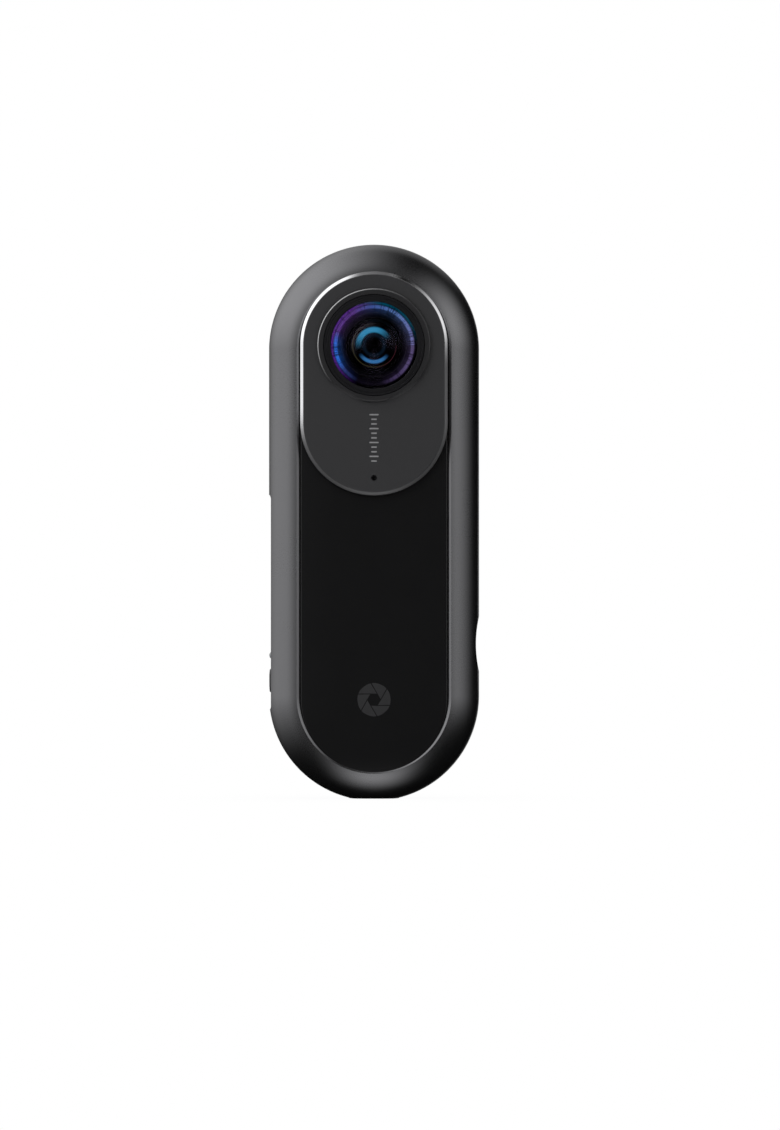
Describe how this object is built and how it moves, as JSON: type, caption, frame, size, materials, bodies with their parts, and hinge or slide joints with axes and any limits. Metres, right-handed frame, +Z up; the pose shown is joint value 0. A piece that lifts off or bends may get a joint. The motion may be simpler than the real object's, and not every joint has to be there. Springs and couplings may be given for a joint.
{
  "type": "action camera",
  "caption": "Pocket panoramic action camera: capsule body, two domed lenses back to back, side button, card slot, fold-out phone plug and tripod thread.",
  "frame": {"origin": "mouth of the tripod thread, in the middle of the flat foot", "axes": "+Z up the body, -Y the way the front lens looks, +X to the right seen from the front"},
  "size_m": [0.0364, 0.025, 0.096],
  "materials": {
    "band": "satin graphite paint with a fine grain",
    "gloss_panel": "polished black",
    "tape": "matt black",
    "lens_plate": "satin dark grey",
    "lens_glass": "coated and polished",
    "inner_glass": "coated and polished",
    "lens_metal": "black anodised",
    "seal_rubber": "matt black",
    "sensor": "dark and glassy",
    "circuit_board": "solder mask",
    "inner_plastic": "moulded black",
    "plug_plastic": "fine moulded grain",
    "polished_steel": "polished",
    "spring_steel": "rolled",
    "gold": "plated",
    "flat_cable": "amber film",
    "side_plate": "satin dark grey",
    "button": "fine grain",
    "tin_plate": "tin plated",
    "lamp": "milky",
    "led": "clear resin",
    "card": "moulded black",
    "chip": "moulded black",
    "pad": "soft grey",
    "graphite_foil": "graphite coated",
    "connector": "moulded",
    "battery_foil": "wrapped foil",
    "foam": "open foam",
    "frame_metal": "cast",
    "mesh_metal": "woven",
    "brass": "turned",
    "screw_steel": "blackened"
  },
  "bodies": {
    "camera": {"front_housing": "band", "rear_housing": "band", "front_panel": "gloss_panel", "rear_panel": "gloss_panel", "panel_tapes": "tape", "front_bezel": "lens_plate", "rear_bezel": "lens_plate", "front_dome_lens": "lens_glass", "front_lens_seal": "seal_rubber", "front_lens_retainer": "lens_metal", "front_lens_barrel": "lens_metal", "front_lens_spacer": "lens_metal", "front_inner_lens": "inner_glass", "front_relay_lens": "inner_glass", "front_image_sensor": "sensor", "front_sensor_board": "circuit_board", "rear_dome_lens": "lens_glass", "rear_lens_seal": "seal_rubber", "rear_lens_retainer": "lens_metal", "rear_lens_barrel": "lens_metal", "rear_lens_spacer": "lens_metal", "rear_inner_lens": "inner_glass", "rear_relay_lens": "inner_glass", "rear_image_sensor": "sensor", "rear_sensor_board": "circuit_board", "plug_tray": "inner_plastic", "plug_pin": "polished_steel", "plug_detent": "spring_steel", "plug_cable": "flat_cable", "side_plate": "side_plate", "button_switch": "tin_plate", "status_lamp": "lamp", "status_led": "led", "side_board": "circuit_board", "usb_socket": "polished_steel", "usb_tongue": "inner_plastic", "card_socket": "tin_plate", "main_board": "circuit_board", "board_chips": "chip", "shield_can": "tin_plate", "thermal_pad": "pad", "heat_spreader": "graphite_foil", "board_connectors": "connector", "sensor_cables": "flat_cable", "battery": "battery_foil", "battery_pad": "foam", "inner_frame": "frame_metal", "antenna": "flat_cable", "microphone": "tin_plate", "mic_boot": "seal_rubber", "mic_mesh": "mesh_metal", "tripod_bush": "brass", "housing_screws": "screw_steel", "frame_screws": "screw_steel"},
    "plug": {"plug_arm": "plug_plastic", "plug_shell": "polished_steel", "plug_contacts": "gold"},
    "button": {"shutter_button": "button"},
    "card": {"memory_card": "card"}
  },
  "joints": [
    {"name": "plug_fold", "type": "hinge", "parent": "camera", "child": "plug", "pos_m": [0.0135, 0, 0.0404], "axis": [0, -1, 0], "range_deg": [0, 90]},
    {"name": "shutter_press", "type": "slide", "parent": "camera", "child": "button", "axis": [1, 0, 0], "range_m": [0, 0.0003], "stiffness_N_per_m": 3000, "springref_m": -0.0001},
    {"name": "card_slide", "type": "slide", "parent": "camera", "child": "card", "axis": [-1, 0, 0], "range_m": [0, 0.015]}
  ]
}
